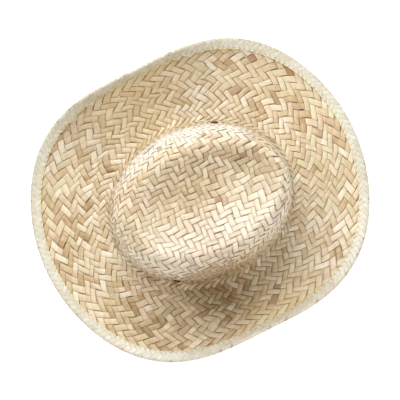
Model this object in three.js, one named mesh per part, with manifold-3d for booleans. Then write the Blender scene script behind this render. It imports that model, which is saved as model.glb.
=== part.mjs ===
// Straw cowboy hat: a woven shell, crown and brim in one, and the braid folded over the brim's edge.
// Millimetres, +Z up, front towards -Y. The origin lies on the surface that the hat rests on, under
// the middle of the brim, whose edge is level at the front and the back and rests there.

import * as THREE from 'three';
import { mergeVertices } from 'three/addons/utils/BufferGeometryUtils.js';
import Module from 'manifold-3d';

// ---- Driving dimensions -------------------------------------------------------------------------

const wallThickness = 1.8;
const bindingThickness = 1.1;
const bindingGap = 0.4;
const bindingWidth = 10;
const bindingRound = 1;
const edgeHeight = wallThickness / 2 + bindingGap + bindingThickness;

const crownTurn = THREE.MathUtils.degToRad(-3);
const crownShift = 2.5;
const levelHalfAngle = THREE.MathUtils.degToRad(15);

const ventDiameter = 6.5;
const ventHeight = 56;
const ventSides = 12;
const ventAngles = { left: THREE.MathUtils.degToRad(152), right: THREE.MathUtils.degToRad(-35) };

const segments = 60;
const stepsPerSection = 2;
const probe = 1e-3;

const strawColour = '#d9c19a';
const bindingColour = '#eee6cf';
const strawRoughness = 0.75;

// Control sections, from the edge of the brim up over the crown to the middle of its top. Each is
// an oval with half sizes to the side, front and back, and a height at each of the three. `drawn`
// is how far the roll of the brim draws the oval in at the sides. `crown` is how far the section
// goes with the crown, which sits a little turned and shifted on the brim.
const columns = ['side', 'front', 'back', 'drawn', 'zSide', 'zFront', 'zBack', 'crown'];
const sections = {
  brimEdge: [182.5, 182.5, 182.5, 30.5, 61.5, edgeHeight, edgeHeight, 0],
  insideBinding: [171, 171.5, 171.5, 23, 51.5, edgeHeight, edgeHeight, 0],
  brimRoll: [156, 159, 159, 16, 41, edgeHeight, edgeHeight, 0.2],
  middleBrim: [135.5, 143, 143, 8.5, 30.5, 6, 6, 0.5],
  innerBrim: [114, 125, 125, 3, 22.5, 12, 12, 0.8],
  crownApron: [98.5, 111.5, 111.5, 0, 19.5, 15.5, 15.5, 1],
  crownFoot: [86.5, 102, 102, 0, 18, 16.5, 16.5, 1],
  wallStart: [83.5, 99.5, 99.5, 0, 26, 25, 25, 1],
  lowWall: [81.5, 98, 98, 0, 46, 45, 45, 1],
  middleWall: [78, 96.5, 96.5, 0, 72, 70, 72, 1],
  highWall: [73.5, 94.5, 95, 0, 97, 93, 97, 1],
  shoulder: [66, 88, 92, 0, 118, 112, 118, 1],
  ridge: [53, 75, 86, 0, 132, 122, 132, 1],
  dishSlope: [41, 61, 73, 0, 122, 118, 119, 1],
  dishFoot: [27, 41, 51, 0, 115.5, 113, 112, 1],
  dishFloor: [13, 20, 25, 0, 111, 110.5, 110, 1],
  middleTop: [0, 0, 0, 0, 109.5, 109.5, 109.5, 1],
};

// ---- The middle surface of the wall -------------------------------------------------------------

const rows = Object.values(sections);
const lastRow = rows.length - 1;

// One cell of the table. Before the first row the table goes on straight, so that the surface starts
// at the brim edge itself. Past the last row it is the far half of the top, seen across the middle.
function cell(row, name) {
  const at = columns.indexOf(name);
  if (row < 0) return 2 * rows[0][at] - rows[-row][at];
  if (row <= lastRow) return rows[row][at];
  const beyond = rows[2 * lastRow - row][at];
  return ['side', 'front', 'back'].includes(name) ? -beyond : beyond;
}

// A column of the table as a uniform cubic B-spline, with `along` counted in rows.
function blended(name, along) {
  const start = Math.min(Math.floor(along), lastRow - 1);
  const u = along - start;
  const weights = [
    (1 - u) ** 3,
    4 - 6 * u ** 2 + 3 * u ** 3,
    1 + 3 * u + 3 * u ** 2 - 3 * u ** 3,
    u ** 3,
  ];
  return weights.reduce((sum, weight, k) => sum + (weight / 6) * cell(start - 1 + k, name), 0);
}

// How far the brim is rolled up in a direction: 1 at the sides, 0 where its edge is level.
function rollFactor(angle) {
  const fromSide = Math.asin(Math.abs(Math.sin(angle)));
  const reach = Math.PI / 2 - levelHalfAngle;
  return fromSide < reach ? Math.cos((fromSide / reach) * (Math.PI / 2)) ** 2 : 0;
}

// A point `along` the table, in the direction `angle` from +X.
function surfacePoint(along, angle) {
  const [endSize, endHeight] = Math.sin(angle) > 0 ? ['back', 'zBack'] : ['front', 'zFront'];
  const roll = rollFactor(angle);
  const crown = blended('crown', along);
  const zEnd = blended(endHeight, along);
  const oval = new THREE.Vector2(
    blended('side', along) * Math.cos(angle),
    blended(endSize, along) * Math.sin(angle),
  );
  oval.setLength(oval.length() - blended('drawn', along) * roll ** 2);
  oval.rotateAround(new THREE.Vector2(), crownTurn * crown);
  const z = zEnd + (blended('zSide', along) - zEnd) * roll;
  return new THREE.Vector3(oval.x + crownShift * crown, oval.y, z);
}

// The directions at a point of the surface: inwards along the table, and out of the hat.
function surfaceFrame(along, angle) {
  const inwards = surfacePoint(along + probe, angle).sub(surfacePoint(along - probe, angle));
  const around = surfacePoint(along, angle + probe).sub(surfacePoint(along, angle - probe));
  const speed = inwards.length() / (2 * probe);
  const normal = around.cross(inwards).normalize();
  return { inwards: inwards.normalize(), normal, speed };
}

// A point that lies `depth` in from the brim edge along the wall and `height` above its middle.
function edgePoint(depth, height, angle) {
  const edge = surfaceFrame(0, angle);
  const along = Math.max(depth, 0) / edge.speed;
  const beyond = Math.min(depth, 0);
  const point = surfacePoint(along, angle).addScaledVector(edge.inwards, beyond);
  return point.addScaledVector(surfaceFrame(along, angle).normal, height);
}

// ---- Meshes and solids --------------------------------------------------------------------------

const angleOf = (segment) => (segment / segments) * 2 * Math.PI;

function geometryOf(points, triangles) {
  const geometry = new THREE.BufferGeometry();
  const numbers = points.flatMap((point) => point.toArray());
  geometry.setAttribute('position', new THREE.Float32BufferAttribute(numbers, 3));
  geometry.setIndex(triangles);
  return geometry;
}

// Triangles of the strip between two rings of points that start at index `a` and index `b`. The
// quads are split from the ring that lies further out, so that facing strips bend alike.
function strip(a, b, outerRing) {
  const triangles = [];
  for (let j = 0; j < segments; j += 1) {
    const k = (j + 1) % segments;
    if (outerRing === a) triangles.push(a + j, a + k, b + k, a + j, b + k, b + j);
    else triangles.push(a + j, a + k, b + j, a + k, b + k, b + j);
  }
  return triangles;
}

// The shell: an upper and a lower skin, half the wall away from the middle surface, each closed by
// one point in the middle of the top and joined to the other along the brim edge.
function shellGeometry() {
  const rings = lastRow * stepsPerSection;
  const points = [];
  const triangles = [];
  const skinStart = [];
  for (const side of [1, -1]) {
    skinStart.push(points.length);
    for (let ring = 0; ring < rings; ring += 1) {
      const along = ring / stepsPerSection;
      for (let j = 0; j < segments; j += 1) {
        const { normal } = surfaceFrame(along, angleOf(j));
        points.push(surfacePoint(along, angleOf(j)).addScaledVector(normal, (side * wallThickness) / 2));
      }
    }
    const middle = surfacePoint(lastRow, 0);
    middle.z += (side * wallThickness) / 2;
    points.push(middle);
  }
  const [upper, lower] = skinStart;
  for (let ring = 0; ring < rings - 1; ring += 1) {
    const step = ring * segments;
    triangles.push(...strip(upper + step, upper + step + segments, upper + step));
    triangles.push(...strip(lower + step + segments, lower + step, lower + step));
  }
  triangles.push(...strip(lower, upper, upper));
  for (let j = 0; j < segments; j += 1) {
    const k = (j + 1) % segments;
    const lastRing = (rings - 1) * segments;
    triangles.push(upper + lastRing + j, upper + lastRing + k, upper + rings * segments);
    triangles.push(lower + lastRing + k, lower + lastRing + j, lower + rings * segments);
  }
  return geometryOf(points, triangles);
}

// The binding: a U-shaped section, open towards the crown, carried round the edge of the brim.
function bindingGeometry() {
  const inner = wallThickness / 2 + bindingGap;
  const outer = inner + bindingThickness;
  const outside = [
    [bindingWidth, outer],
    [bindingWidth / 2, outer],
    [bindingRound - bindingThickness - bindingGap, outer],
    [-bindingThickness - bindingGap, outer - bindingRound],
  ];
  const inside = [
    [-bindingGap, inner],
    [bindingWidth / 2, inner],
    [bindingWidth, inner],
  ];
  const mirrored = (line) => line.toReversed().map(([depth, height]) => [depth, -height]);
  const section = [...outside, ...mirrored(outside), ...mirrored(inside), ...inside];
  const points = [];
  for (const [depth, height] of section) {
    for (let j = 0; j < segments; j += 1) points.push(edgePoint(depth, height, angleOf(j)));
  }
  const triangles = [];
  section.forEach(([depth], i) => {
    const next = (i + 1) % section.length;
    const outerRing = section[next][0] < depth ? next : i;
    triangles.push(...strip(next * segments, i * segments, outerRing * segments));
  });
  return geometryOf(points, triangles);
}

// How far along the table the crown wall reaches a height, found by halving.
function alongAtHeight(height, angle) {
  let low = Object.keys(sections).indexOf('crownFoot');
  let high = Object.keys(sections).indexOf('shoulder');
  while (high - low > probe) {
    const middle = (low + high) / 2;
    if (surfacePoint(middle, angle).z < height) low = middle;
    else high = middle;
  }
  return low;
}

// A short prism across the wall, which cuts one vent hole.
function ventGeometry(angle) {
  const along = alongAtHeight(ventHeight, angle);
  const { normal } = surfaceFrame(along, angle);
  const prism = new THREE.CylinderGeometry(ventDiameter / 2, ventDiameter / 2, ventDiameter, ventSides);
  prism.applyQuaternion(new THREE.Quaternion().setFromUnitVectors(new THREE.Vector3(0, 1, 0), normal));
  return prism.translate(...surfacePoint(along, angle));
}

const wasm = await Module();
wasm.setup();

function solidOf(geometry) {
  const bare = geometry.clone();
  bare.deleteAttribute('normal');
  bare.deleteAttribute('uv');
  const merged = mergeVertices(bare);
  return new wasm.Manifold(new wasm.Mesh({
    numProp: 3,
    vertProperties: merged.attributes.position.array,
    triVerts: Uint32Array.from(merged.index.array),
  }));
}

function geometryOfSolid(solid) {
  const mesh = solid.getMesh();
  const geometry = new THREE.BufferGeometry();
  geometry.setAttribute('position', new THREE.BufferAttribute(mesh.vertProperties, 3));
  geometry.setIndex(new THREE.BufferAttribute(mesh.triVerts, 1));
  return geometry;
}

function piece(name, geometry, colour) {
  geometry.computeVertexNormals();
  const material = new THREE.MeshStandardMaterial({ color: colour, roughness: strawRoughness, metalness: 0 });
  const mesh = new THREE.Mesh(geometry, material);
  mesh.name = name;
  return mesh;
}

// ---- The hat ------------------------------------------------------------------------------------

let shell = solidOf(shellGeometry());
for (const angle of Object.values(ventAngles)) shell = shell.subtract(solidOf(ventGeometry(angle)));

const hat = new THREE.Group();
hat.name = 'straw_cowboy_hat';
hat.add(piece('woven_body', geometryOfSolid(shell), strawColour));
hat.add(piece('brim_binding', bindingGeometry(), bindingColour));

export default hat;
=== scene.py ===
# %% [markdown]
# # A straw cowboy hat, woven strip by strip
# A hat like this is plaited from flat strips of straw. The plaiting starts in the middle of the
# crown, runs down its wall and out over the brim without a seam, and a pale braid is folded over
# the edge. The CAD frame gives the form as a plain shell. Here that shell is replaced by the
# strips themselves, so the over and under of the weave is real shape from every side.

import math

import bpy
import numpy as np
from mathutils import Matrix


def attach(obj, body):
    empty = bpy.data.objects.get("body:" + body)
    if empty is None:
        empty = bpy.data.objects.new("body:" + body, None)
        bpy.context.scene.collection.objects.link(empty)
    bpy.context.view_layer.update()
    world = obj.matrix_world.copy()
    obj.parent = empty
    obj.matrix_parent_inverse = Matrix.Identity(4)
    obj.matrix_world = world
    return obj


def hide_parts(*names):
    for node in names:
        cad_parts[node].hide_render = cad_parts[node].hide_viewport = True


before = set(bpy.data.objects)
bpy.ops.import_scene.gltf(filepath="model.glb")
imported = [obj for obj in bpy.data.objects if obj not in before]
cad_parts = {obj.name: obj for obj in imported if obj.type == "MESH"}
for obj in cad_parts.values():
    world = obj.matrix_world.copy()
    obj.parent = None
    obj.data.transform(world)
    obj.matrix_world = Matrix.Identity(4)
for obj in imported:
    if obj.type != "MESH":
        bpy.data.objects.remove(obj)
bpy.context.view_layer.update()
bpy.ops.object.select_all(action="DESELECT")
MM = 0.001

# %% [markdown]
# ## The form that the straw follows
# The real hat was pressed on a block. Its form is a pile of ovals: from the brim's edge, up the
# crown's wall, over the ridge and down into the dish. Each row below is one such oval, with its
# half sizes to the side, front and back, how far the roll of the brim draws it in at the sides,
# its heights, and how far it goes with the crown. A smooth spline runs through the rows. These
# are the same sections as the frame's, because strips need a smooth surface and not facets.

# %% The sections
EDGE_HEIGHT = 2.4  # mm, of the middle of the straw where the brim rests
CROWN_TURN = math.radians(-3)
CROWN_SHIFT = 2.5  # mm
LEVEL_ANGLE = math.radians(15)  # how far round the front and back the brim stays level

# side, front, back, drawn in at the sides, height at the side, front and back, part of the crown
SECTIONS = np.array([
    (182.5, 182.5, 182.5, 30.5, 61.5, EDGE_HEIGHT, EDGE_HEIGHT, 0),  # brim edge
    (171, 171.5, 171.5, 23, 51.5, EDGE_HEIGHT, EDGE_HEIGHT, 0),  # inside the binding
    (156, 159, 159, 16, 41, EDGE_HEIGHT, EDGE_HEIGHT, 0.2),  # brim roll
    (135.5, 143, 143, 8.5, 30.5, 6, 6, 0.5),  # middle of the brim
    (114, 125, 125, 3, 22.5, 12, 12, 0.8),  # inner brim
    (98.5, 111.5, 111.5, 0, 19.5, 15.5, 15.5, 1),  # apron of the crown
    (86.5, 102, 102, 0, 18, 16.5, 16.5, 1),  # foot of the crown
    (83.5, 99.5, 99.5, 0, 26, 25, 25, 1),  # start of the wall
    (81.5, 98, 98, 0, 46, 45, 45, 1),  # low wall
    (78, 96.5, 96.5, 0, 72, 70, 72, 1),  # middle of the wall
    (73.5, 94.5, 95, 0, 97, 93, 97, 1),  # high wall
    (66, 88, 92, 0, 118, 112, 118, 1),  # shoulder
    (53, 75, 86, 0, 132, 122, 132, 1),  # ridge
    (41, 61, 73, 0, 122, 118, 119, 1),  # slope of the dish
    (27, 41, 51, 0, 115.5, 113, 112, 1),  # foot of the dish
    (13, 20, 25, 0, 111, 110.5, 110, 1),  # floor of the dish
    (0, 0, 0, 0, 109.5, 109.5, 109.5, 1),  # middle of the top
])
FOOT = 6  # the rows of the crown's foot, its shoulder and its ridge
SHOULDER = 11
RIDGE = 12
LAST = len(SECTIONS) - 1
print(len(SECTIONS), "sections from the brim's edge to the middle of the top")

# %% The smooth surface
across_the_top = np.array([-1, -1, -1, 1, 1, 1, 1, 1])  # beyond its middle sizes are negative
padded = np.vstack([
    2 * SECTIONS[0] - SECTIONS[2:0:-1],
    SECTIONS,
    SECTIONS[LAST - 1:LAST - 3:-1] * across_the_top,
])


def section_at(along):
    """All columns of the table at places counted in rows from the edge, as a cubic B-spline."""
    start = np.floor(along).astype(int)
    u = (along - start)[:, None]
    weights = ((1 - u) ** 3, 4 - 6 * u ** 2 + 3 * u ** 3,
               1 + 3 * u + 3 * u ** 2 - 3 * u ** 3, u ** 3)
    rows = [padded[np.clip(start + k + 1, 0, len(padded) - 1)] for k in range(4)]
    return sum(w * r for w, r in zip(weights, rows)) / 6


def hat_point(along, angle):
    """Points of the hat's middle surface in mm, for arrays of places along the table and angles."""
    side, front, back, drawn, z_side, z_front, z_back, crown = section_at(along).T
    to_back = np.sin(angle) > 0
    from_side = np.arcsin(np.clip(np.abs(np.sin(angle)), 0, 1))
    reach = math.pi / 2 - LEVEL_ANGLE
    roll = np.where(from_side < reach, np.cos(from_side / reach * math.pi / 2) ** 2, 0)
    x = side * np.cos(angle)
    y = np.where(to_back, back, front) * np.sin(angle)
    size = np.maximum(np.hypot(x, y), 1e-9)
    pull = 1 - drawn * roll ** 2 / size
    turn = CROWN_TURN * crown
    x, y = pull * x, pull * y
    z_end = np.where(to_back, z_back, z_front)
    return np.stack([
        x * np.cos(turn) - y * np.sin(turn) + CROWN_SHIFT * crown,
        x * np.sin(turn) + y * np.cos(turn),
        z_end + (z_side - z_end) * roll,
    ], axis=-1)


side_edge = hat_point(np.zeros(1), np.zeros(1))[0]
print("the brim's edge at the right side, in mm:", side_edge.round(1))

# %% The surface as a flat disc
def unit(vectors):
    """The same vectors at length one."""
    return vectors / np.maximum(np.linalg.norm(vectors, axis=-1, keepdims=True), 1e-9)


def flat_point(places):
    """The surface from a flat disc: its centre is the middle of the top and its rim the edge."""
    return hat_point(LAST - np.hypot(*places.T), np.arctan2(places[:, 1], places[:, 0]))


def flat_frame(places, step=1e-3):
    """Point, the two slopes of the surface over the flat disc, and its outward normal."""
    right = np.array([step, 0])
    up = np.array([0, step])
    slope_x = (flat_point(places + right) - flat_point(places - right)) / (2 * step)
    slope_y = (flat_point(places + up) - flat_point(places - up)) / (2 * step)
    return flat_point(places), slope_x, slope_y, unit(np.cross(slope_x, slope_y))


ROUND = 721  # points on an oval that is measured
angles_round = np.linspace(0, 2 * math.pi, ROUND)
ridge = hat_point(np.full(ROUND, float(RIDGE)), angles_round)
print("ridge height in mm, low and high:", ridge[:, 2].min().round(1), ridge[:, 2].max().round(1))

# %% [markdown]
# ## How the strips run
# In the middle of the top the strips cross square, along and across the hat. Counted outwards
# from there, every crossing lies on a ring: ring one has four crossings, ring two eight, and so on
# up to the ring where all strips take part. From there on the count stays the same, and the two
# halves of the straw run down the wall and out over the brim as left-hand and right-hand
# diagonals. The right-hand strips are on top for two rings and the left-hand ones for the next
# two, which gives the bands of slanting floats that lie head to tail.

# %% Crossings and strips
QUARTER = 20  # strips in each quarter of the hat
RINGS = 64
KEY_STEPS = 1_000_000  # a turn is rounded to this part of a quarter, so that two strips meet


def turn_of(quarter, number, ring, clockwise):
    """Where a half strip crosses a ring, in quarter turns from +X. Number counts from zero."""
    line = number + 0.5
    place = line / ring if ring <= QUARTER else line / QUARTER - (ring - QUARTER) / (2 * QUARTER)
    return quarter + (place if clockwise else 1 - place)


crossing_of = {}
strips = []
for quarter in range(4):
    for number in range(QUARTER):
        rings = list(range(number + 1, RINGS + 1))
        inward = [(ring, turn_of(quarter + 1, number, ring, False), False)
                  for ring in reversed(rings)]
        outward = [(ring, turn_of(quarter, number, ring, True), True) for ring in rings]
        strip = []
        for ring, turn, clockwise in inward + outward:
            key = (ring, round(turn * KEY_STEPS) % (4 * KEY_STEPS))
            crossing = crossing_of.setdefault(key, len(crossing_of))
            on_top = (ring % 4 < 2) == clockwise
            strip.append((crossing, ring, on_top))
        strips.append(strip)

ring_of = np.array([key[0] for key in crossing_of])
turn_at = np.array([key[1] / KEY_STEPS for key in crossing_of])
print(len(strips), "strips and", len(crossing_of), "crossings on", RINGS, "rings")

# %% [markdown]
# ## Where the crossings lie
# On the wall and the brim the rings are level, a little wider apart towards the edge. On the top
# nobody measures: each strip is pushed against its neighbours until the gaps are even. The same
# is done here. Every crossing moves again and again to the middle of its four neighbours, and
# stays on the surface of the hat.

# %% Level rings on the wall and the brim
LEVEL_RING = 31  # the first level ring, and its place on the wall in rows of the table
LEVEL_ALONG = 8.9
OUTER_ALONG = 0.3  # where the last ring lies, under the braid
OUTER_STEP = 1.28  # how much wider the last step is than the first
WIDENING_POWER = 1.5
DOWN = 400  # points on a line from the wall to the edge that is measured

fine_along = np.linspace(LEVEL_ALONG, OUTER_ALONG, DOWN)
lines_down = np.stack([hat_point(fine_along, np.full(DOWN, a)) for a in angles_round[:-1:60]])
pace = np.linalg.norm(np.diff(lines_down, axis=1), axis=2).mean(axis=0)
travelled = np.concatenate([[0], np.cumsum(pace)])
widening = 1 + (OUTER_STEP - 1) * (travelled / travelled[-1]) ** WIDENING_POWER
count = np.concatenate([[0], np.cumsum(np.diff(travelled) / widening[1:])])
count *= (RINGS - LEVEL_RING) / count[-1]
along_of_ring = np.interp(np.arange(RINGS - LEVEL_RING + 1), count, fine_along)


def turns_by_length(along):
    """How far round the oval each measured angle lies, by length, as quarter turns from 0 to 4."""
    oval = hat_point(np.full(ROUND, along), angles_round)
    length = np.concatenate([[0], np.cumsum(np.linalg.norm(np.diff(oval, axis=0), axis=1))])
    return length / length[-1] * 4


places = np.zeros((len(crossing_of), 2))
for ring in range(1, RINGS + 1):
    here = ring_of == ring
    inside = LAST - (LAST - LEVEL_ALONG) * (ring - 0.5) / (LEVEL_RING - 0.5)
    along = along_of_ring[ring - LEVEL_RING] if ring >= LEVEL_RING else inside
    angle = np.interp(turn_at[here], turns_by_length(along), angles_round)
    places[here] = (LAST - along) * np.stack([np.cos(angle), np.sin(angle)], axis=1)
print("ring step in mm near the crown and at the edge:",
      round(float(travelled[-1] / count[-1] / widening.mean()), 2),
      round(float(travelled[-1] / count[-1] / widening.mean() * OUTER_STEP), 2))

# %% Let the strips of the top find even gaps
# the crossings before and after each crossing, on each of its two strips
before = np.full((len(crossing_of), 2), -1)
after = np.full((len(crossing_of), 2), -1)
for strip in strips:
    for here, (crossing, _, _) in enumerate(strip):
        slot = 0 if before[crossing, 0] == -1 and after[crossing, 0] == -1 else 1
        before[crossing, slot] = strip[max(here - 1, 0)][0]
        after[crossing, slot] = strip[min(here + 1, len(strip) - 1)][0]

SETTLING_ROUNDS = 1200
free = np.flatnonzero(ring_of < LEVEL_RING)
neighbours = np.concatenate([before[free], after[free]], axis=1)
for _ in range(SETTLING_ROUNDS):
    here, slope_x, slope_y, _ = flat_frame(places[free])
    wanted = flat_point(places[neighbours].reshape(-1, 2)).reshape(-1, 4, 3).mean(axis=1) - here
    # the step on the disc that comes nearest to the wanted move in space
    a = (slope_x * slope_x).sum(axis=1)
    b = (slope_x * slope_y).sum(axis=1)
    c = (slope_y * slope_y).sum(axis=1)
    d = (slope_x * wanted).sum(axis=1)
    e = (slope_y * wanted).sum(axis=1)
    places[free] += np.stack([c * d - b * e, a * e - b * d], axis=1) / (a * c - b * b)[:, None]
points = flat_point(places)
links = np.linalg.norm(points[neighbours] - points[free][:, None], axis=2)
print("gap between crossings on the top in mm:", links.min().round(1), "to", links.max().round(1))

# %% [markdown]
# ## Nobody plaits quite evenly
# On a hand-plaited hat the rows drift to and fro by about a millimetre, and each crossing sits a
# little off its place. A few long waves with random directions, and a small step for each
# crossing, are enough to take the machine look away.

# %% Let the rows drift
rng = np.random.default_rng(11)
DRIFT = 0.9  # mm, of the long waves together
CROSSING_STEP = 0.22  # mm
WAVES = 14
WAVE_LENGTHS = (22, 60)  # mm, the shortest and the longest
STEADY_RINGS = 8  # over these last rings the drift fades out, so the edge stays even
directions = unit(rng.normal(size=(WAVES, 3)))
lengths = rng.uniform(*WAVE_LENGTHS, WAVES)
phases = rng.uniform(0, 2 * math.pi, WAVES)
pushes = rng.normal(0, DRIFT / math.sqrt(WAVES / 2), (WAVES, 2))
waves = np.sin(points @ directions.T / lengths * 2 * math.pi + phases)
shift = waves @ pushes + rng.normal(0, CROSSING_STEP, places.shape)
shift *= np.clip((RINGS - ring_of) / STEADY_RINGS, 0, 1)[:, None]
_, slope_x, slope_y, _ = flat_frame(places)
mm_per_unit = (np.linalg.norm(slope_x, axis=1) + np.linalg.norm(slope_y, axis=1)) / 2
places += shift / mm_per_unit[:, None]
print("crossings moved by up to", np.linalg.norm(shift, axis=1).max().round(1), "mm")

# %% [markdown]
# ## Two vents in the wall
# A vent in a plaited hat is not cut: a pointed stick pushes the strips apart. So the nearest gap
# between four crossings is moved to the vent's place, and its neighbours go along a little. Later
# the strips themselves are pushed back from the middle of the vent.

# %% Bring a gap of the weave to each vent
VENT_HEIGHT = 56  # mm
VENT_ANGLES = (math.radians(152), math.radians(-35))
VENT_PULL = 1.1  # how far the moving of the gaps reaches, in the units of the flat disc
LAST_WALL_RING = 40


def along_at_height(height, angle):
    """The place on the crown's wall that has this height."""
    tries = np.linspace(FOOT, SHOULDER, 500)
    return float(np.interp(height, hat_point(tries, np.full(len(tries), angle))[:, 2], tries))


on_wall = np.flatnonzero((ring_of > LEVEL_RING) & (ring_of < LAST_WALL_RING))
vents = []
for angle in VENT_ANGLES:
    size = LAST - along_at_height(VENT_HEIGHT, angle)
    vent = size * np.array([math.cos(angle), math.sin(angle)])
    gaps = np.concatenate([(places[one[on_wall, 0]] + places[other[on_wall, 1]]) / 2
                           for one in (before, after) for other in (before, after)])
    nearest = gaps[np.argmin(np.linalg.norm(gaps - vent, axis=1))]
    reach = np.linalg.norm(places - vent, axis=1) / VENT_PULL
    places += (vent - nearest) * np.exp(-reach ** 2)[:, None]
    point, _, _, out = flat_frame(vent[None])
    vents.append((point[0], out[0]))
    print("vent at", point[0].round(1), "mm, gap moved by",
          np.linalg.norm(vent - nearest).round(2), "rows")

# %% [markdown]
# ## The strips as real ribbons
# Each strip is a thin ribbon with a lens-shaped section, because a straw stem is split, opened
# and pressed flat. Its middle line goes through its crossings, its two sides reach almost to its
# neighbours, and it dives under the other strips in the short way between two crossings. All of
# this is worked out for a whole strip at once, and the strips are then joined into four meshes,
# as that many single objects would slow Blender down.

# %% Curves for the strips
def smooth_path(values, at, u):
    """Points on a Catmull-Rom curve through the rows of values, from row `at` on by u."""
    last = len(values) - 1
    p0, p1, p2, p3 = (values[np.clip(at + k, 0, last)] for k in (-1, 0, 1, 2))
    u = u[:, None]
    return 0.5 * (2 * p1 + (p2 - p0) * u + (2 * p0 - 5 * p1 + 4 * p2 - p3) * u ** 2
                  + (3 * p1 - p0 - 3 * p2 + p3) * u ** 3)


def wander(rng, count, spacing):
    """A smooth random line from -1 to 1 with a new value every `spacing` places."""
    knots = rng.uniform(-1, 1, int(count / spacing) + 3)
    return np.interp(np.arange(count) / spacing + rng.uniform(0, 1), np.arange(len(knots)), knots)


halfway = smooth_path(flat_point(places[:4]), np.array([1]), np.array([0.5]))[0]
print("halfway between two crossings of the first strip, in mm:", halfway.round(1))

# %% Strips make way for the vents
VENT_RADIUS = 4.0  # mm, how far the strips are pushed off the middle of a vent
PUSH_REACH = 9  # mm
VENT_SQUEEZE = 0.35  # how much narrower a strip gets
SQUEEZE_REACH = 6  # mm
VENT_LIP = 1.8  # mm, how far the strips above a vent stand in, and those below stand out


def open_vents(sections):
    """Squeezes the strips near a vent and pushes them off it, the upper inwards, the lower out."""
    for vent, out in vents:
        middle = sections.mean(axis=1, keepdims=True)
        off = np.linalg.norm(middle - vent, axis=-1, keepdims=True)
        near = np.exp(-((off / SQUEEZE_REACH) ** 2))
        sections = sections + VENT_SQUEEZE * near * (middle - sections)
        away = sections - vent
        depth = (away @ out)[..., None] * out
        away = away - depth
        distance = np.linalg.norm(away, axis=-1, keepdims=True)
        near = np.exp(-(distance / PUSH_REACH) ** 2)
        wider = np.sqrt(distance ** 2 + VENT_RADIUS ** 2 * near)
        away = away / np.maximum(distance, 1e-6) * wider
        lip = -VENT_LIP * np.clip(away[..., 2:] / VENT_RADIUS, -1, 1) * near
        sections = vent + away + depth + lip * out
    return sections


print(len(vents), "vents, whose strips are pushed off by", VENT_RADIUS, "mm")

# %% The faces of a closed tube
def tube_faces(rows, sides):
    """Quads of a tube with this many rows of this many points, and a face over each end."""
    row = np.arange(rows - 1)[:, None] * sides
    side = np.arange(sides)[None]
    next_side = (side + 1) % sides
    next_row = row + sides
    quads = np.stack([row + side, next_row + side, next_row + next_side, row + next_side], axis=-1)
    faces = quads.reshape(-1, 4).tolist()
    faces.append(list(range(sides)))
    faces.append(list(range(rows * sides - 1, (rows - 1) * sides - 1, -1)))
    return faces


print("a tube of three rows of four points has", len(tube_faces(3, 4)), "faces")

# %% Which way is sideways
def sideways_steps(ids, middle):
    """At each crossing of a strip, the step along the other strip to this one's neighbour."""
    steps = np.zeros_like(middle)
    for k, crossing in enumerate(ids):
        own = 0 if (k + 1 < len(ids) and after[crossing, 0] == ids[k + 1]) else 1
        if k + 1 == len(ids):
            own = 0 if before[crossing, 0] == ids[k - 1] else 1
        ends = before[crossing, 1 - own], after[crossing, 1 - own]
        links = 2 - (ends[0] == crossing) - (ends[1] == crossing)
        steps[k] = (places[ends[1]] - places[ends[0]]) / links
    forward = np.gradient(middle, axis=0)
    turned = forward[:, 0] * steps[:, 1] - forward[:, 1] * steps[:, 0]
    return steps * np.sign(turned)[:, None]


first_ids = [crossing for crossing, _, _ in strips[0]]
first_steps = sideways_steps(first_ids, places[first_ids])
print("the first strip's", len(first_steps), "sideways steps are ready")

# %% One strip's ribbon
DIVE = (0.0, 0.33, 0.5, 0.67)  # places between two crossings where the ribbon has a section
DIVE_START = 0.3  # where it starts to go from over to under, and how long that takes
DIVE_LENGTH = 0.4
NEXT_SHADE = 0.4  # from here on it has the shade of the next crossing
MAP_UNIT = 100  # mm along a strip for one unit of its map
MAP_START = 50  # each strip's map starts somewhere below this, so that no two have the same grain
RIBBON_LIFT = 0.5  # mm, from the middle surface to a strip that is on top
RIBBON_THICK = 0.27  # mm, half its thickness in the middle
FLOAT_BOW = 0.12  # mm, how much a float bulges, and how much that differs
FLOAT_BOW_RANGE = 0.1
HEIGHT_WANDER = 0.06  # mm
TILT = 0.13  # mm, of one side over the middle
HALF_WIDTH = (0.458, 0.492)  # of the gap to the next strip, the narrowest and widest strip
WIDTH_WANDER = 0.012
SIDE_WANDER = (0.04, 0.015)  # slow and quick, of the gap to the next strip
WALL_RING = 34  # round this ring the strips are pulled tight
WALL_GAP = 0.1  # what half a width loses there, of the gap to the next strip
WALL_REACH = 12  # rings
# five places across a strip, and the places and heights of the eight points round its section
ACROSS = np.array([-1.0, -0.89, 0.0, 0.89, 1.0])
SECTION_ACROSS = np.array([0, 1, 2, 3, 4, 3, 2, 1])
SECTION_HEIGHT = np.array([0, 0.85, 1, 0.85, 0, -0.85, -1, -0.85])
SECTION_POINTS = len(SECTION_ACROSS)


def dive(u):
    """How far a strip has come from one crossing's height to the next one's, from 0 to 1."""
    return np.clip((u - DIVE_START) / DIVE_LENGTH, 0, 1)


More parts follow.
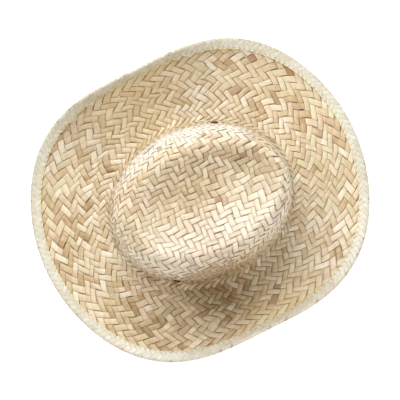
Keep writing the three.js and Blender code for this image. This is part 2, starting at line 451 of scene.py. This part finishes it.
def ribbon(strip, rng):
    """Points, nearest crossing of each section, and the two coordinates of the strip's map."""
    ids, ring, on_top = (np.array(column) for column in zip(*strip))
    lift = np.where(on_top, 1.0, -1.0)
    middle = places[ids]
    sideways = sideways_steps(ids, middle)
    at = np.append(np.repeat(np.arange(len(ids) - 1), len(DIVE)), len(ids) - 2)
    u = np.append(np.tile(DIVE, len(ids) - 1), 1.0)
    rows = len(at)
    centre = smooth_path(middle, at, u)
    cross = sideways[at] * (1 - u)[:, None] + sideways[at + 1] * u[:, None]
    ease = dive(u) ** 2 * (3 - 2 * dive(u))
    bow = FLOAT_BOW + FLOAT_BOW_RANGE * rng.uniform(-1, 1, len(ids))
    float_bow = bow[at] * np.sin(np.pi * u) * (lift[at] == lift[at + 1])
    height = RIBBON_LIFT * (lift[at] * (1 - ease) + lift[at + 1] * ease) + float_bow * lift[at]
    height += HEIGHT_WANDER * wander(rng, rows, 6)
    tilt = TILT * wander(rng, rows, 7)
    half_width = rng.uniform(*HALF_WIDTH) + WIDTH_WANDER * wander(rng, rows, 25)
    half_width += WIDTH_WANDER * wander(rng, rows, 5)
    half_width -= WALL_GAP * np.clip(1 - np.abs(ring[at] - WALL_RING) / WALL_REACH, 0, 1)
    drift = SIDE_WANDER[0] * wander(rng, rows, 14) + SIDE_WANDER[1] * wander(rng, rows, 5)

    points = np.empty((rows, len(ACROSS), 3))
    out = np.empty((rows, len(ACROSS), 3))
    for k, s in enumerate(ACROSS):
        spot = centre + cross * (half_width * s + drift)[:, None]
        points[:, k], _, _, out[:, k] = flat_frame(spot)
        points[:, k] += out[:, k] * (height + tilt * s)[:, None]
    thickness = (SECTION_HEIGHT * RIBBON_THICK)[:, None]
    solid = points[:, SECTION_ACROSS] + out[:, SECTION_ACROSS] * thickness
    length = np.concatenate([[0], np.cumsum(np.linalg.norm(np.diff(points[:, 2], axis=0), axis=1))])
    across = np.broadcast_to((ACROSS[SECTION_ACROSS] + 1) / 2, (rows, SECTION_POINTS))
    along = np.broadcast_to(length[:, None] / MAP_UNIT, (rows, SECTION_POINTS))
    crossing = at + (u > NEXT_SHADE)
    return open_vents(solid).reshape(-1, 3), crossing, across.ravel(), along.ravel()


print("a strip is", 2 * RIBBON_THICK, "mm thick and has", len(DIVE), "sections for each crossing")

# %% [markdown]
# ## Every strip has its own shade
# Straw is never one colour. A strip keeps its own tone for most of its length, and the tone
# changes slowly along it and jumps a little from one float to the next. A few strips are
# greener, pinker or rust brown. These values are stored on the mesh, one colour per point, so
# that one material can paint all of the strips.

# %% Shades along a strip
TONE_WANDER = (0.1, 0.05)  # slow and quick changes along a strip
TONE_JUMP = 0.1  # from one float to the next
TINT_WANDER = (0.18, 0.06)
PALEST_TONE = 0.88
MARKED_FLOATS = 0.012  # the part of all floats that is rust brown


def straw_shades(rng, crossing, own_tone, own_tint):
    """Tone, tint, mark and a spare value of each section of a strip, from 0 to 1."""
    count = crossing.max() + 2
    pair = (np.arange(count) + rng.integers(0, 2)) // 2
    jump = rng.normal(0, TONE_JUMP, pair.max() + 1)[pair]
    tone = own_tone + TONE_WANDER[0] * wander(rng, count, 7)
    tone = tone + TONE_WANDER[1] * wander(rng, count, 2.5) + jump
    tint = own_tint + TINT_WANDER[0] * wander(rng, count, 8)
    tint = tint + TINT_WANDER[1] * wander(rng, count, 2)
    mark = np.where(rng.random(pair.max() + 1)[pair] < MARKED_FLOATS, 1.0, 0.0)
    tone = np.clip(tone, 0, PALEST_TONE)
    tint = np.clip(tint, 0, 1)
    return np.stack([tone, tint, mark, np.full(count, rng.random())], axis=1)[crossing]


print("tones go up to", PALEST_TONE, "and one float in", round(1 / MARKED_FLOATS), "is rust brown")

# %% Put arrays into a mesh
def straw_mesh(name, parts):
    """One object from many parts, each with its points, faces, across, along and shades."""
    points, part_faces, across, along, shades = zip(*parts)
    faces = []
    start = 0
    for own_points, own_faces in zip(points, part_faces):
        faces.extend([[corner + start for corner in face] for face in own_faces])
        start += len(own_points)
    mesh = bpy.data.meshes.new(name)
    mesh.from_pydata((np.concatenate(points) * MM).tolist(), [], faces)
    corner_point = np.empty(len(mesh.loops), dtype=np.int32)
    mesh.loops.foreach_get("vertex_index", corner_point)
    strip_map = np.stack([np.concatenate(across), np.concatenate(along)], axis=1)
    mesh.uv_layers.new(name="strip").data.foreach_set("uv", strip_map[corner_point].ravel())
    layer = mesh.color_attributes.new(name="straw", type="FLOAT_COLOR", domain="POINT")
    layer.data.foreach_set("color", np.concatenate(shades).ravel())
    mesh.polygons.foreach_set("use_smooth", np.ones(len(mesh.polygons), dtype=bool))
    mesh.validate()
    piece = bpy.data.objects.new(name, mesh)
    bpy.context.collection.objects.link(piece)
    triangles = sum(len(face) - 2 for face in faces)
    print(name, "has", len(parts), "parts and", triangles, "triangles")
    return piece


# %% Weave the hat
rng = np.random.default_rng(7)
STRIP_TONE = (0.5, 0.1)  # the middle and the spread of the strips' own tones, and their limits
STRIP_TONES = (0.2, 0.85)
STRIP_TINTS = (0.1, 0.9)
WEAVE_NAMES = ("strips_crosswise_back", "strips_lengthwise_left",
               "strips_crosswise_front", "strips_lengthwise_right")
weave = []
for quarter, name in enumerate(WEAVE_NAMES):
    parts = []
    for strip in strips[quarter * QUARTER:(quarter + 1) * QUARTER]:
        solid, crossing, across, along = ribbon(strip, rng)
        own_tone = np.clip(rng.normal(*STRIP_TONE), *STRIP_TONES)
        own_tint = rng.uniform(*STRIP_TINTS)
        shades = straw_shades(rng, crossing, own_tone, own_tint)
        parts.append((solid, tube_faces(len(crossing), SECTION_POINTS), across,
                      along + rng.uniform(0, MAP_START), np.repeat(shades, SECTION_POINTS, axis=0)))
    weave.append(straw_mesh(name, parts))

# %% [markdown]
# ## The braid over the edge
# A flat plait, about 25 mm wide, is folded over the edge of the brim and sewn down. It is woven
# like the hat, only that its strands run slanting across it from side to side. Here the plait is
# laid out flat first, with columns round the brim and rows across it, and each of its points is
# then carried to the fold: in along the top, round the edge, and back along the underside.

# %% The fold
BRAID_COLUMNS = 176
BRAID_ROWS = 8
FOLD_DEPTH = 10.0  # mm, how far the braid reaches in from the edge
FOLD_HEIGHT = 1.85  # mm, from the middle of the straw to the braid, and the radius of the fold
FOLD_CENTRE = 0.6  # mm, how far inside the edge the fold has its centre
FOLD_FLAT = FOLD_DEPTH - FOLD_CENTRE
FOLD_ARC = math.pi * FOLD_HEIGHT / 2  # a quarter of a turn, from the very edge to one face
FOLD_HALF = FOLD_FLAT + FOLD_ARC

edge_angles = np.linspace(0, 2 * math.pi, 2001)
edge_line = hat_point(np.zeros(len(edge_angles)), edge_angles)
edge_length = np.concatenate([[0], np.cumsum(np.linalg.norm(np.diff(edge_line, axis=0), axis=1))])
print("the edge of the brim is", edge_length[-1].round(0), "mm round")

# %% From the flat braid to the fold
def edge_frame(along, angle, step=1e-3):
    """Point, inward direction, outward normal and speed of the surface, for arrays of places."""
    inward = (hat_point(along + step, angle) - hat_point(along - step, angle)) / (2 * step)
    around = hat_point(along, angle + step) - hat_point(along, angle - step)
    speed = np.linalg.norm(inward, axis=1, keepdims=True)
    return hat_point(along, angle), inward / speed, unit(np.cross(around, inward)), speed[:, 0]


def on_fold(column, across, height):
    """Points of the folded braid. Across runs from -1 at the top's inner side to 1 below."""
    angle = np.interp((column / BRAID_COLUMNS) % 1 * edge_length[-1], edge_length, edge_angles)
    walked = np.abs(across) * FOLD_HALF
    side = -np.sign(across)
    on_arc = walked < FOLD_ARC
    bow = math.pi / 2 - np.clip(FOLD_ARC - walked, 0, None) / FOLD_HEIGHT
    depth = FOLD_CENTRE + np.where(on_arc, -FOLD_HEIGHT * np.cos(bow), walked - FOLD_ARC)
    rise = side * np.where(on_arc, FOLD_HEIGHT * np.sin(bow), FOLD_HEIGHT)
    _, edge_inward, _, edge_speed = edge_frame(np.zeros_like(angle), angle)
    point, _, normal, _ = edge_frame(np.maximum(depth, 0) / edge_speed, angle)
    point = point + edge_inward * np.minimum(depth, 0)[:, None]
    out_in = -np.cos(bow)
    out_up = side * np.sin(bow)
    out = unit(edge_inward * out_in[:, None] + normal * out_up[:, None])
    return point + normal * rise[:, None] + out * height[:, None]


fold_edge = on_fold(np.zeros(1), np.zeros(1), np.zeros(1))[0]
print("the fold's edge at the right side, in mm:", fold_edge.round(1))

# %% The strands of the braid
STRAND_LIFT = 0.09  # mm
STRAND_THICK = 0.1  # mm, half its thickness
STRAND_WANDER = 0.03  # mm
STRAND_WIDTH = (0.5, 0.01)  # half of it in rows of the braid, and how much it changes
STRAND_STEP = 4.3  # mm, along a strand from row to row
STRAND_TONE = (0.74, 0.07)
STRAND_TONES = (0.4, 1)
STRAND_TINTS = (0.05, 0.95)
DARK_STRANDS = 0.16  # the part of all strands with a dark mark at the very edge, painted shade of a gap at the fold
DARK_MARK = 0.9
DARK_ROW = BRAID_ROWS / 2 - 0.3  # the middle of the mark, and half its length in rows
DARK_HALF = 0.4
STRAND_DIVE = (0.0, 0.36, 0.64)  # places between two rows where a strand has a section
STRAND_ACROSS = np.array([-1, -0.84, 0.84, 1, 0.84, -0.84])
STRAND_HEIGHT = np.array([0, 1, 1, 0, -1, -1])
STRAND_POINTS = len(STRAND_ACROSS)


def strand(column, slant, rng):
    """One strand of the braid, from the top's inner side round the edge to the underside."""
    at = np.append(np.repeat(np.arange(BRAID_ROWS), len(STRAND_DIVE)), BRAID_ROWS - 1)
    u = np.append(np.tile(STRAND_DIVE, BRAID_ROWS), 1.0)
    rows = len(at)
    lift = np.where((np.arange(BRAID_ROWS + 1) % 4 < 2) == (slant > 0), 1.0, -1.0)
    height = STRAND_LIFT * (lift[at] * (1 - dive(u)) + lift[at + 1] * dive(u))
    height = height + STRAND_WANDER * wander(rng, rows, 4)
    half_width = STRAND_WIDTH[0] + STRAND_WIDTH[1] * wander(rng, rows, 8)
    side = (STRAND_ACROSS * half_width[:, None]).ravel()
    up = (height[:, None] + STRAND_HEIGHT * STRAND_THICK).ravel()
    row = np.repeat(at + u, STRAND_POINTS)
    columns = column + slant * row / 2 - slant * side / 2
    across = np.clip((row + side) / BRAID_ROWS * 2 - 1, -1, 1)
    points = on_fold(columns, across, up)
    own_tone = np.clip(rng.normal(*STRAND_TONE), *STRAND_TONES)
    shades = straw_shades(rng, at + (u > NEXT_SHADE), own_tone, rng.uniform(*STRAND_TINTS))
    marked = rng.random() < DARK_STRANDS
    shades[:, 2] = DARK_MARK * marked * (np.abs(at + u - DARK_ROW) < DARK_HALF)
    faces = tube_faces(rows, STRAND_POINTS)
    if slant > 0:  # so that they point outwards
        faces = [face[::-1] for face in faces]
    length = row * STRAND_STEP / MAP_UNIT + rng.uniform(0, MAP_START)
    return (points, faces, np.tile((STRAND_ACROSS + 1) / 2, rows), length,
            np.repeat(shades, STRAND_POINTS, axis=0))


parts = [strand(column, slant, rng) for slant in (1, -1) for column in range(BRAID_COLUMNS)]
braid = straw_mesh("edge_braid", parts)

# %% [markdown]
# ## The seam along the braid
# A row of long stitches in pale yellow yarn holds the braid down, close to its inner side, on
# both faces of the brim. One stitch is modelled from a ball that is drawn out and pressed flat,
# and copied all round.

# %% One stitch
STITCH_LENGTH = 5.2  # mm
STITCH_WIDTH = 1.15
STITCH_THICK = 0.8

bpy.ops.mesh.primitive_uv_sphere_add(segments=8, ring_count=5, radius=0.5)
stitch = bpy.context.object
bpy.ops.object.mode_set(mode="EDIT")
bpy.ops.mesh.select_all(action="SELECT")
bpy.ops.transform.rotate(value=math.pi / 2, orient_axis="Y", center_override=(0, 0, 0))
bpy.ops.transform.resize(value=(STITCH_LENGTH, STITCH_WIDTH, STITCH_THICK))
bpy.ops.object.mode_set(mode="OBJECT")
stitch_points = np.array([v.co[:] for v in stitch.data.vertices])
stitch_faces = [list(face.vertices) for face in stitch.data.polygons]
bpy.data.objects.remove(stitch, do_unlink=True)
print("a stitch is", np.ptp(stitch_points, axis=0).round(2), "mm and has",
      len(stitch_faces), "faces")

# %% Stitches round both faces
STITCHES = 204  # on each face
STITCH_PLACE = 0.1  # how unevenly they follow each other, in stitches
STITCH_SKEW = 0.08
STITCH_SINK = 0.5  # mm, how deep its two ends go into the straw
STITCH_TONE = (0.8, 0.06)
STITCH_TINTS = (0.3, 0.7)
SEAM_ACROSS = 0.965  # where the seam runs on the fold, whose inner side is at 1
SEAM_HEIGHT = {-1: 0.5, 1: 0.05}  # mm, pressed in on the underside, where the hat rests
SEAM_FLATTER = {-1: 1.0, 1: 0.5}


def seam_stitch(number, face_side, rng):
    """One stitch laid on the braid, on the top face (-1) or the underside (1)."""
    pitch = edge_length[-1] / BRAID_COLUMNS
    column = BRAID_COLUMNS * (number + STITCH_PLACE * rng.uniform(-1, 1)) / STITCHES
    skew = rng.uniform(-STITCH_SKEW, STITCH_SKEW)
    x, y, z = stitch_points.T
    columns = column + x / pitch
    across = face_side * SEAM_ACROSS + (y * face_side + skew * x) / FOLD_HALF
    sink = STITCH_SINK * (2 * x / STITCH_LENGTH) ** 2
    points = on_fold(columns, across, SEAM_HEIGHT[face_side] + z * SEAM_FLATTER[face_side] - sink)
    faces = stitch_faces if face_side < 0 else [face[::-1] for face in stitch_faces]
    tone = np.clip(rng.normal(*STITCH_TONE), 0, 1)
    shades = np.tile([tone, rng.uniform(*STITCH_TINTS), 0.0, rng.random()], (len(points), 1))
    along = x / MAP_UNIT + rng.uniform(0, MAP_START)
    return points, faces, y / STITCH_WIDTH + 0.5, along, shades


parts = [seam_stitch(n, face_side, rng) for face_side in (-1, 1) for n in range(STITCHES)]
seam = straw_mesh("edge_seam", parts)

# %% [markdown]
# ## The look of straw
# Straw is a stem: it has fine fibres along its length, a soft gloss on its skin, and colours from
# pale cream over beige to brown where it was damp or sunburnt. The colour is a ramp, read by the
# shade of the strip plus slow changes along it and the fibres. The fibres also change the
# roughness and the bump. The sides of each strip are darker: partly dirt that gathers there,
# and partly painted shade of the narrow gaps between the strips.

# %% Helpers for the nodes
def node(tree, kind, inputs=None, **settings):
    """A new node with its settings and its inputs, which are values or other sockets."""
    made = tree.nodes.new(kind)
    for key, value in settings.items():
        setattr(made, key, value)
    for key, value in (inputs or {}).items():
        if isinstance(value, bpy.types.NodeSocket):
            tree.links.new(value, made.inputs[key])
        else:
            made.inputs[key].default_value = value
    return made


def maths(tree, operation, first, second=0.5, third=0.0):
    """The result of one sum."""
    terms = {0: first, 1: second, 2: third}
    return node(tree, "ShaderNodeMath", terms, operation=operation).outputs[0]


def blend_colours(tree, factor, first, second, kind="MIX"):
    """One colour over another."""
    mixed = node(tree, "ShaderNodeMix", data_type="RGBA", blend_type=kind)
    for key, value in (("Factor_Float", factor), ("A_Color", first), ("B_Color", second)):
        socket = next(i for i in mixed.inputs if i.identifier == key)
        if isinstance(value, bpy.types.NodeSocket):
            tree.links.new(value, socket)
        else:
            socket.default_value = value
    return next(o for o in mixed.outputs if o.identifier == "Result_Color")


def shade(red, green, blue):
    """A colour given as on a screen, from 0 to 255, in Blender's linear values."""
    return (*(((c / 255 + 0.055) / 1.055) ** 2.4 for c in (red, green, blue)), 1.0)


print("middle straw in linear values:", [round(c, 3) for c in shade(213, 192, 156)])

# %% Helpers for patterns
def noise(tree, place, scale, detail, roughness=0.5):
    """A noise from 0 to 1 with its middle at a half."""
    inputs = {"Vector": place, "Scale": scale, "Detail": detail, "Roughness": roughness}
    return node(tree, "ShaderNodeTexNoise", inputs).outputs["Fac"]


def carried(tree, value, start, end, low, high):
    """The value carried from one range to another, and held at its ends."""
    inputs = {"Value": value, "From Min": start, "From Max": end, "To Min": low, "To Max": high}
    return node(tree, "ShaderNodeMapRange", inputs).outputs[0]


def moved(tree, value, pattern, strength):
    """The value moved up and down by a pattern."""
    return maths(tree, "MULTIPLY_ADD", maths(tree, "SUBTRACT", pattern, 0.5), strength, value)


def strip_noise(tree, across, along, across_scale, along_scale, detail, roughness):
    """A noise on the strip's own map, drawn out by its two scales."""
    place = node(tree, "ShaderNodeCombineXYZ", {
        "X": maths(tree, "MULTIPLY", across, across_scale),
        "Y": maths(tree, "MULTIPLY", along, along_scale)})
    return noise(tree, place.outputs[0], 1.0, detail, roughness)


def away_from(tree, spot, middle):
    """The distance of each spot from a place on the hat."""
    ends = {0: spot, 1: middle}
    return node(tree, "ShaderNodeVectorMath", ends, operation="DISTANCE").outputs["Value"]


print("patterns: noise, strip noise, and the distance from a place")

# %% The tone of the straw
FIBRES = (9.0, 9.0, 3.0, 0.6)  # scale across and along, detail and roughness of the noise
SLOW_CHANGE = (0.8, 30.0, 2.0, 0.5)
FIBRE_STRENGTH = 0.6
SLOW_STRENGTH = 0.5
PATCHES = (9.0, 2.0)  # scale in the room and detail, of patches some centimetres wide
PATCH_STRENGTH = 0.5


def straw_tone(tree, own_tone, spot, fibres, slow, stains_and_painted_light):
    """The place on the ramp of colours, from 0 for the darkest straw to 1 for the palest."""
    tone = moved(tree, own_tone, slow, SLOW_STRENGTH)
    tone = moved(tree, tone, fibres, FIBRE_STRENGTH)
    tone = moved(tree, tone, noise(tree, spot, *PATCHES), PATCH_STRENGTH)
    # areas of the hat move the tone: most are painted shade and painted light, a few are only
    # darker
    for middle, reach, depth in stains_and_painted_light:
        tone_shift = carried(tree, away_from(tree, spot, middle), reach, 0.0, 0.0, depth)
        tone = maths(tree, "SUBTRACT", tone, tone_shift)
    return tone


print("the fibres move the tone by up to", FIBRE_STRENGTH / 2)

# %% The colour of the straw
BLEACH_HEIGHTS = (0.03, 0.09)  # m, where the sun's bleaching starts and where it is full
BLEACHED = shade(243, 238, 226)
WASH_CORE = 0.25  # the part of a wash's reach in which it is full
GREEN_FROM = 0.8  # strips with a tint above this are greener, and those below PINK_TO pinker
GREEN_STRENGTH = 0.32
GREEN_STRAW = shade(210, 202, 160)
PINK_TO = 0.16
PINK_STRENGTH = 0.3
PINK_STRAW = shade(226, 196, 172)
# rust brown: real rust on a few floats of the body, and painted shade in the gaps at the fold of
# the braid
RUST_AND_FOLD_SHADE_STRENGTH = 0.7
RUST_AND_FOLD_SHADE = shade(156, 112, 76)
# the sides of each strip are darker: dirt, and painted shade of the narrow gaps between strips
BORDER = (0.425, 0.477)  # from the middle of a strip, whose sides are at a half
BORDER_DIRT_AND_SHADE = shade(96, 68, 42)
BORDER_PATCHES = (70.0, 1.0)


def straw_colour(tree, tone, tint, mark, across, spot, ramp_colours, dirt_and_gap_shade, bleach, painted_light_washes):
    """The colour of each spot, from the ramp through bleaching, painted light, tints and marks to
    the border.
    """
    ramp = node(tree, "ShaderNodeValToRGB", {"Fac": tone})
    stops = ramp.color_ramp.elements
    for _ in range(len(ramp_colours) - 2):
        stops.new(0.5)
    for stop, colour, at in zip(stops, ramp_colours, np.linspace(0, 1, len(ramp_colours))):
        stop.position = at
        stop.color = colour
    height = node(tree, "ShaderNodeSeparateXYZ", {"Vector": spot}).outputs[2]
    bleached = carried(tree, height, *BLEACH_HEIGHTS, 0.0, bleach)
    colour = blend_colours(tree, bleached, ramp.outputs["Color"], BLEACHED)
    # painted highlights and painted light laid over the colour
    for middle, reach, strength, painted_light_colour in painted_light_washes:
        away = away_from(tree, spot, middle)
        near = carried(tree, away, reach, reach * WASH_CORE, 0.0, strength)
        colour = blend_colours(tree, near, colour, painted_light_colour)
    green = maths(tree, "MULTIPLY", maths(tree, "GREATER_THAN", tint, GREEN_FROM), GREEN_STRENGTH)
    colour = blend_colours(tree, green, colour, GREEN_STRAW)
    pink = maths(tree, "MULTIPLY", maths(tree, "LESS_THAN", tint, PINK_TO), PINK_STRENGTH)
    colour = blend_colours(tree, pink, colour, PINK_STRAW)
    # marked spots: real rust on the body, painted shade at the braid's fold
    dark_marked = maths(tree, "MULTIPLY", mark, RUST_AND_FOLD_SHADE_STRENGTH)
    colour = blend_colours(tree, dark_marked, colour, RUST_AND_FOLD_SHADE)
    # darker sides of a strip: dirt, and painted shade of the gaps between strips
    from_middle = maths(tree, "ABSOLUTE", maths(tree, "SUBTRACT", across, 0.5))
    border = carried(tree, from_middle, *BORDER, 0.0, dirt_and_gap_shade)
    patchy = carried(tree, noise(tree, spot, *BORDER_PATCHES), 0.38, 0.55, 0.4, 1.0)
    border = maths(tree, "MULTIPLY", border, patchy)
    return blend_colours(tree, border, colour, BORDER_DIRT_AND_SHADE, "MULTIPLY")


print("the border takes", round(2 * (0.5 - BORDER[0]) * 100), "% of a strip's width")

# %% The straw material
def straw_material(name, ramp_colours, bump_strength, dirt_and_gap_shade, bleach=0.0, stains_and_painted_light=(), painted_light_washes=()):
    """Straw with fibres. The ramp's colours go from the darkest strips to the palest."""
    material = bpy.data.materials.new(name)
    material.use_nodes = True
    tree = material.node_tree
    tree.nodes.clear()
    place = node(tree, "ShaderNodeUVMap", uv_map="strip").outputs["UV"]
    across, along, _ = node(tree, "ShaderNodeSeparateXYZ", {"Vector": place}).outputs
    own = node(tree, "ShaderNodeVertexColor", layer_name="straw").outputs["Color"]
    own_tone, tint, mark = node(tree, "ShaderNodeSeparateColor", {"Color": own}).outputs
    spot = node(tree, "ShaderNodeTexCoord").outputs["Object"]
    fibres = strip_noise(tree, across, along, *FIBRES)
    slow = strip_noise(tree, across, along, *SLOW_CHANGE)
    tone = straw_tone(tree, own_tone, spot, fibres, slow, stains_and_painted_light)
    colour = straw_colour(tree, tone, tint, mark, across, spot, ramp_colours, dirt_and_gap_shade, bleach, painted_light_washes)
    rough = carried(tree, fibres, 0.3, 0.7, 0.52, 0.36)
    relief = {"Height": fibres, "Strength": bump_strength, "Distance": 0.0003}
    bump = node(tree, "ShaderNodeBump", relief).outputs["Normal"]
    shader = node(tree, "ShaderNodeBsdfPrincipled", {
        "Base Color": colour, "Roughness": rough, "Normal": bump,
        "Specular IOR Level": 0.5, "Coat Weight": 0.35, "Coat Roughness": 0.46})
    output = node(tree, "ShaderNodeOutputMaterial")
    tree.links.new(shader.outputs["BSDF"], output.inputs["Surface"])
    print(name, "has", len(tree.nodes), "nodes")
    return material


# %% [markdown]
# ## Woven straw, braid and yarn
# The straw of the body goes from brown to cream, and the upper crown is a little bleached by the
# sun. Most darker and paler areas on it are painted light and shade: painted shade on the right
# of the crown's wall and shoulder and in the back of the dish, a painted shadow at the right foot
# of the crown, painted highlights on the left of the wall and shoulder and on the right slope of
# the dish, and golden painted light on both rolls of the brim. A few other areas are only darker.
# Such areas are balls round a place on the hat: some move the tone along the ramp, and others lay
# a colour over it. The braid is bleached straw, and the seam is a pale yellow yarn.

# %% Stains, painted shade and painted light of the body
# the middle of each area in m, its reach in m, and how much darker it is, or paler below zero
WEAVE_STAINS_AND_PAINTED_LIGHT = (
    ((-0.128, -0.010, 0.040), 0.09, -0.34),  # left roll of the brim, paler: painted light on its side away from the key light
    ((0.105, -0.100, 0.030), 0.10, 0.34),  # right front of the brim
    ((0.100, -0.020, 0.015), 0.05, 0.20),  # right of the crown: painted shadow at its foot
    ((-0.030, 0.070, 0.115), 0.05, 0.25),  # back of the dish: painted shade
    ((0.080, -0.020, 0.085), 0.08, 0.68),  # right of the wall: painted shade, away from the key light
    ((0.068, -0.018, 0.112), 0.04, 0.20),  # right shoulder: painted shade
    ((-0.080, -0.010, 0.080), 0.05, -0.12),  # left of the wall, paler: painted highlight towards the key light
    ((0.000, 0.160, 0.000), 0.07, 0.10),  # back of the brim
    ((0.137, 0.030, 0.050), 0.07, -0.22),  # right roll of the brim, paler: painted light in the shadow of the crown
    ((-0.010, 0.000, 0.110), 0.06, 0.20),  # middle of the dish
    ((-0.090, 0.130, 0.020), 0.06, 0.12),  # left back of the brim
)
# colours of painted light: white highlights on the lit wall, paler highlights on the dish, and a
# golden tan on shaded rolls of the brim
PAINTED_HIGHLIGHT_WHITE = shade(244, 240, 231)
PAINTED_DISH_HIGHLIGHT = shade(231, 221, 206)
PAINTED_LIGHT_GOLDEN = shade(240, 212, 156)
# painted light: the middle of each wash in m, its reach in m, its strength and its colour
WEAVE_PAINTED_LIGHT = (
    ((-0.076, -0.062, 0.092), 0.042, 0.60, PAINTED_HIGHLIGHT_WHITE),  # painted highlight on the left of the wall, front to back
    ((-0.082, -0.005, 0.092), 0.042, 0.60, PAINTED_HIGHLIGHT_WHITE),
    ((-0.074, 0.052, 0.092), 0.042, 0.60, PAINTED_HIGHLIGHT_WHITE),
    ((-0.052, 0.064, 0.102), 0.034, 0.60, PAINTED_HIGHLIGHT_WHITE),  # painted highlight on the left shoulder, back to front
    ((-0.064, 0.020, 0.100), 0.034, 0.55, PAINTED_HIGHLIGHT_WHITE),
    ((-0.066, -0.027, 0.100), 0.034, 0.50, PAINTED_HIGHLIGHT_WHITE),
    ((0.036, -0.045, 0.120), 0.042, 0.52, PAINTED_DISH_HIGHLIGHT),  # painted highlight on the right slope of the dish, front to back
    ((0.036, 0.005, 0.120), 0.042, 0.52, PAINTED_DISH_HIGHLIGHT),
    ((0.036, 0.050, 0.122), 0.042, 0.50, PAINTED_DISH_HIGHLIGHT),
    ((-0.135, -0.010, 0.045), 0.075, 0.55, PAINTED_LIGHT_GOLDEN),  # golden painted light on the left roll of the brim, which faces away from the key light
    ((0.137, 0.030, 0.050), 0.060, 0.50, PAINTED_LIGHT_GOLDEN),  # golden painted light in the crown's shadow on the right roll of the brim
)
print(len(WEAVE_STAINS_AND_PAINTED_LIGHT), "stains and", len(WEAVE_PAINTED_LIGHT), "painted_light_washes")

# %% The three finishes
WEAVE_RAMP = (shade(160, 127, 84), shade(193, 165, 123), shade(213, 192, 156),
              shade(229, 214, 186), shade(242, 234, 217))
BRAID_RAMP = (shade(179, 166, 135), shade(192, 182, 156), shade(203, 195, 173),
              shade(212, 206, 188), shade(222, 219, 206))
YARN_RAMP = (shade(202, 180, 104), shade(214, 196, 122), shade(224, 210, 142),
             shade(233, 222, 164), shade(240, 232, 190))
woven_straw = straw_material("woven_straw", WEAVE_RAMP, 0.5, dirt_and_gap_shade=0.95, bleach=0.06,
                             stains_and_painted_light=WEAVE_STAINS_AND_PAINTED_LIGHT, painted_light_washes=WEAVE_PAINTED_LIGHT)
plaited_edge = straw_material("plaited_edge_straw", BRAID_RAMP, 0.35, dirt_and_gap_shade=0.0)
seam_yarn = straw_material("pale_yellow_seam_yarn", YARN_RAMP, 0.6, dirt_and_gap_shade=0.3)

# %% [markdown]
# ## What each piece stands for
# The four groups of strips are the body of the hat, and the braid and its seam are the binding.
# Every piece rides on the hat's one body and gets its finish, and the CAD node it stands for is
# hidden.

# %% Dress the pieces
for piece in weave:
    piece.data.materials.append(woven_straw)
    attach(piece, "root")
    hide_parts("woven_body")
for piece, finish in ((braid, plaited_edge), (seam, seam_yarn)):
    piece.data.materials.append(finish)
    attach(piece, "root")
    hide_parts("brim_binding")
print("dressed:", ", ".join(piece.name for piece in (*weave, braid, seam)))

# %% [markdown]
# ## Floor, light and camera
# The hat lies on a plain pale floor in soft daylight from one side, and the camera looks straight
# down on it, turned so that the hat lies across the view.

# %% The floor
FLOOR_SIZE = 20.0  # m
FLOOR_GLOW = 0.5
GLOW_FROM = 0.11  # m from the middle of the hat, so that its inside stays dark under the vents
GLOW_FULL = 0.15
bpy.ops.mesh.primitive_plane_add(size=FLOOR_SIZE)
floor = bpy.context.object
floor.name = "floor"
pale = bpy.data.materials.new("pale_floor")
pale.use_nodes = True
floor_tree = pale.node_tree
floor_shader = floor_tree.nodes["Principled BSDF"]
floor_shader.inputs["Base Color"].default_value = (0.9, 0.9, 0.9, 1)
floor_shader.inputs["Roughness"].default_value = 0.9
floor_shader.inputs["Specular IOR Level"].default_value = 0.1
floor_shader.inputs["Emission Color"].default_value = (1, 1, 1, 1)
floor_spot = node(floor_tree, "ShaderNodeTexCoord").outputs["Object"]
glow = carried(floor_tree, away_from(floor_tree, floor_spot, (0, 0, 0)),
               GLOW_FROM, GLOW_FULL, 0.0, FLOOR_GLOW)
floor_tree.links.new(glow, floor_shader.inputs["Emission Strength"])
floor.data.materials.append(pale)
print("floor of", FLOOR_SIZE, "m")

# %% The light
KEY_TURN = math.radians(178)
KEY_HEIGHT = math.radians(46)
KEY_DISTANCE = 2.2  # m
KEY_POWER = 55  # W
FILL_PLACE = (1.9, 0.2, 1.6)  # m
FILL_POWER = 26
LIGHT_SIZE = 2.0  # m
ROOM_LIGHT = 0.4


def soft_light(name, place, power):
    """A round area light that points at the hat."""
    bpy.ops.object.light_add(type="AREA", location=place)
    light = bpy.context.object
    light.name = name
    light.data.shape = "DISK"
    light.data.size = LIGHT_SIZE
    light.data.energy = power
    light.rotation_euler = (light.location * -1).to_track_quat("-Z", "Y").to_euler()
    print(name, "at", [round(v, 2) for v in light.location], "m with", power, "W")


soft_light("key_light", (KEY_DISTANCE * math.cos(KEY_HEIGHT) * math.cos(KEY_TURN),
                         KEY_DISTANCE * math.cos(KEY_HEIGHT) * math.sin(KEY_TURN),
                         KEY_DISTANCE * math.sin(KEY_HEIGHT)), KEY_POWER)
soft_light("fill_light", FILL_PLACE, FILL_POWER)
room = bpy.data.worlds.new("studio")
bpy.context.scene.world = room
room.use_nodes = True
room.node_tree.nodes["Background"].inputs["Color"].default_value = (1, 1, 1, 1)
room.node_tree.nodes["Background"].inputs["Strength"].default_value = ROOM_LIGHT
bpy.context.scene.view_settings.view_transform = "Standard"

# %% The camera
CAMERA_HEIGHT = 1.71  # m
VIEW_TURN = math.radians(63.5)
VIEW_WIDTH = 0.432  # m, what the view takes in at the height of the brim
BRIM_HEIGHT = 0.01
SENSOR = 36  # mm
bpy.ops.object.camera_add(location=(0, 0, CAMERA_HEIGHT), rotation=(0, 0, VIEW_TURN))
camera = bpy.context.object
camera.data.sensor_width = SENSOR
camera.data.lens = SENSOR * (CAMERA_HEIGHT - BRIM_HEIGHT) / VIEW_WIDTH
bpy.context.scene.camera = camera
print("lens", round(camera.data.lens, 1), "mm")
